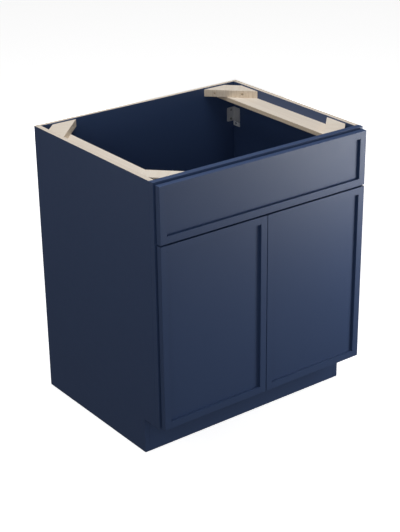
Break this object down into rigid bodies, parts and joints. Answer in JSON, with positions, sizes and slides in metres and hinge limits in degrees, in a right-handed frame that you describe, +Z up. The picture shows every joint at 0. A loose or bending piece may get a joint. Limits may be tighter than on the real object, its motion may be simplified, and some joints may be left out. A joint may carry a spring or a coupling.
{
  "type": "sink base cabinet",
  "caption": "Face-frame kitchen base cabinet for a sink: open top, fixed false front over a pair of hinged doors, recessed toe kick.",
  "frame": {"origin": "on the floor, in the middle of the overall width and of the overall depth with the doors closed", "axes": "+X to the right seen from the front, +Y to the back, +Z up; the doors face -Y"},
  "size_m": [0.762, 0.6316, 0.8763],
  "materials": {
    "navy_paint": "dark navy satin lacquer on plywood and solid wood",
    "raw_wood": "pale unfinished wood and plywood",
    "hinge_steel": "nickel-plated pressed steel",
    "bracket_steel": "grey zinc-coated sheet steel",
    "pad": "translucent soft plastic, matt"
  },
  "bodies": {
    "root": {"back_panel": "navy_paint", "bottom_panel": "navy_paint", "false_front_bottom_rail": "navy_paint", "false_front_left_stile": "navy_paint", "false_front_panel": "navy_paint", "false_front_right_stile": "navy_paint", "false_front_top_rail": "navy_paint", "frame_bottom_rail": "navy_paint", "frame_middle_rail": "navy_paint", "frame_top_rail": "navy_paint", "left_back_corner_block": "raw_wood", "left_corner_bracket": "bracket_steel", "left_frame_stile": "navy_paint", "left_front_corner_block": "raw_wood", "left_lower_hinge_arm": "hinge_steel", "left_lower_spacer": "pad", "left_side_panel": "navy_paint", "left_side_rail": "raw_wood", "left_upper_hinge_arm": "hinge_steel", "left_upper_spacer": "pad", "right_back_corner_block": "raw_wood", "right_corner_bracket": "bracket_steel", "right_frame_stile": "navy_paint", "right_front_corner_block": "raw_wood", "right_lower_hinge_arm": "hinge_steel", "right_lower_spacer": "pad", "right_side_panel": "navy_paint", "right_side_rail": "raw_wood", "right_upper_hinge_arm": "hinge_steel", "right_upper_spacer": "pad", "toe_kick_board": "navy_paint"},
    "left_door": {"left_door_bottom_rail": "navy_paint", "left_door_hinge_stile": "navy_paint", "left_door_lower_bumper": "pad", "left_door_meeting_stile": "navy_paint", "left_door_panel": "navy_paint", "left_door_top_rail": "navy_paint", "left_door_upper_bumper": "pad", "left_lower_hinge_cup": "hinge_steel", "left_lower_hinge_pin": "hinge_steel", "left_upper_hinge_cup": "hinge_steel", "left_upper_hinge_pin": "hinge_steel"},
    "right_door": {"right_door_bottom_rail": "navy_paint", "right_door_hinge_stile": "navy_paint", "right_door_lower_bumper": "pad", "right_door_meeting_stile": "navy_paint", "right_door_panel": "navy_paint", "right_door_top_rail": "navy_paint", "right_door_upper_bumper": "pad", "right_lower_hinge_cup": "hinge_steel", "right_lower_hinge_pin": "hinge_steel", "right_upper_hinge_cup": "hinge_steel", "right_upper_hinge_pin": "hinge_steel"}
  },
  "joints": [
    {"name": "left_door_hinge", "type": "hinge", "parent": "root", "child": "left_door", "pos_m": [-0.36957, -0.3028, 0.4069], "axis": [0, 0, -1], "range_deg": [0, 100], "stiffness_Nm_per_rad": 0.4, "springref_deg": -8.59},
    {"name": "right_door_hinge", "type": "hinge", "parent": "root", "child": "right_door", "pos_m": [0.36957, -0.3028, 0.4069], "axis": [0, 0, 1], "range_deg": [0, 100], "stiffness_Nm_per_rad": 0.4, "springref_deg": -8.59}
  ]
}
